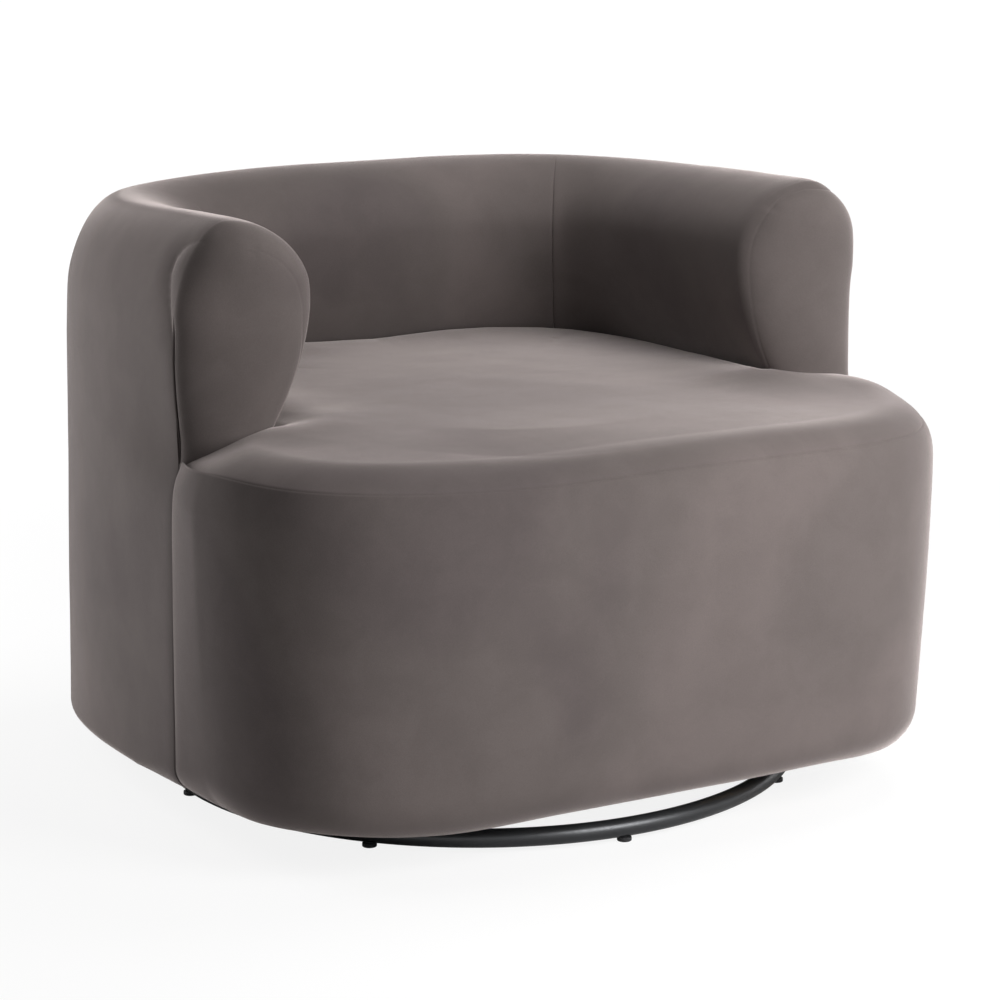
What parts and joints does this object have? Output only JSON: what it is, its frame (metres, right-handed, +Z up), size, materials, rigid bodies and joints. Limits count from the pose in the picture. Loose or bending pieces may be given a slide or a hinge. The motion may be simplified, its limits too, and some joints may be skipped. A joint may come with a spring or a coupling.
{
  "type": "cuddle chair",
  "caption": "Wide round upholstered cuddle chair with a low wrap-around back and arms, domed seat and a swivel base on a round steel tube ring.",
  "frame": {"origin": "on the floor under the swivel axis, which is also the middle of the chair's plan", "axes": "+Z up; the open front of the chair faces -Y; +X is to the right of someone who stands in front and looks at the chair"},
  "size_m": [0.9202, 0.9044, 0.708],
  "materials": {
    "velvet": "matte",
    "foam": "matte",
    "felt": "matte",
    "black_cloth": "matte",
    "plywood": "matte",
    "hardboard": "matte",
    "black_steel": "satin",
    "zinc_steel": "satin",
    "spring_steel": "satin",
    "black_rubber": "matte",
    "nylon": "satin"
  },
  "bodies": {
    "base": {"base_ring": "black_steel", "cross_bar_long": "black_steel", "cross_bar_front": "black_steel", "cross_bar_back": "black_steel", "glide_1": "black_rubber", "glide_2": "black_rubber", "glide_3": "black_rubber", "glide_4": "black_rubber", "glide_5": "black_rubber", "glide_6": "black_rubber", "glide_7": "black_rubber", "glide_8": "black_rubber", "swivel_lower_plate": "zinc_steel", "pivot_pin": "zinc_steel", "pivot_nut": "zinc_steel"},
    "ball_cage": {"ball_cage": "nylon"},
    "seat": {"swivel_upper_plate": "zinc_steel", "swivel_bolt_1": "zinc_steel", "swivel_bolt_2": "zinc_steel", "swivel_bolt_3": "zinc_steel", "swivel_bolt_4": "zinc_steel", "base_board": "plywood", "deck_frame": "plywood", "top_rail": "plywood", "wall_post_1": "plywood", "wall_post_2": "plywood", "wall_post_3": "plywood", "wall_post_4": "plywood", "wall_post_5": "plywood", "wall_post_6": "plywood", "wall_post_7": "plywood", "wall_post_8": "plywood", "front_post_1": "plywood", "front_post_2": "plywood", "front_post_3": "plywood", "outer_board": "hardboard", "inner_board": "hardboard", "front_board": "hardboard", "seat_spring_1": "spring_steel", "seat_spring_2": "spring_steel", "seat_spring_3": "spring_steel", "seat_spring_4": "spring_steel", "seat_spring_5": "spring_steel", "spring_rail_front": "spring_steel", "spring_rail_back": "spring_steel", "spring_pad": "felt", "dust_cover": "black_cloth", "back_foam": "foam", "left_arm_foam": "foam", "right_arm_foam": "foam", "front_foam": "foam", "seat_foam": "foam", "back_cover": "velvet", "left_arm_cover": "velvet", "left_arm_front_cover": "velvet", "right_arm_cover": "velvet", "right_arm_front_cover": "velvet", "front_border_cover": "velvet", "seat_top_cover": "velvet"}
  },
  "joints": [
    {"name": "swivel", "type": "hinge", "parent": "base", "child": "seat", "pos_m": [0, 0, 0.0461], "axis": [0, 0, 1], "continuous": true},
    {"name": "ball_cage_turn", "type": "hinge", "parent": "base", "child": "ball_cage", "pos_m": [0, 0, 0.0461], "axis": [0, 0, 1], "continuous": true}
  ],
  "couplings": [
    {"joint": "ball_cage_turn", "follows": "swivel", "ratio": 0.5}
  ]
}
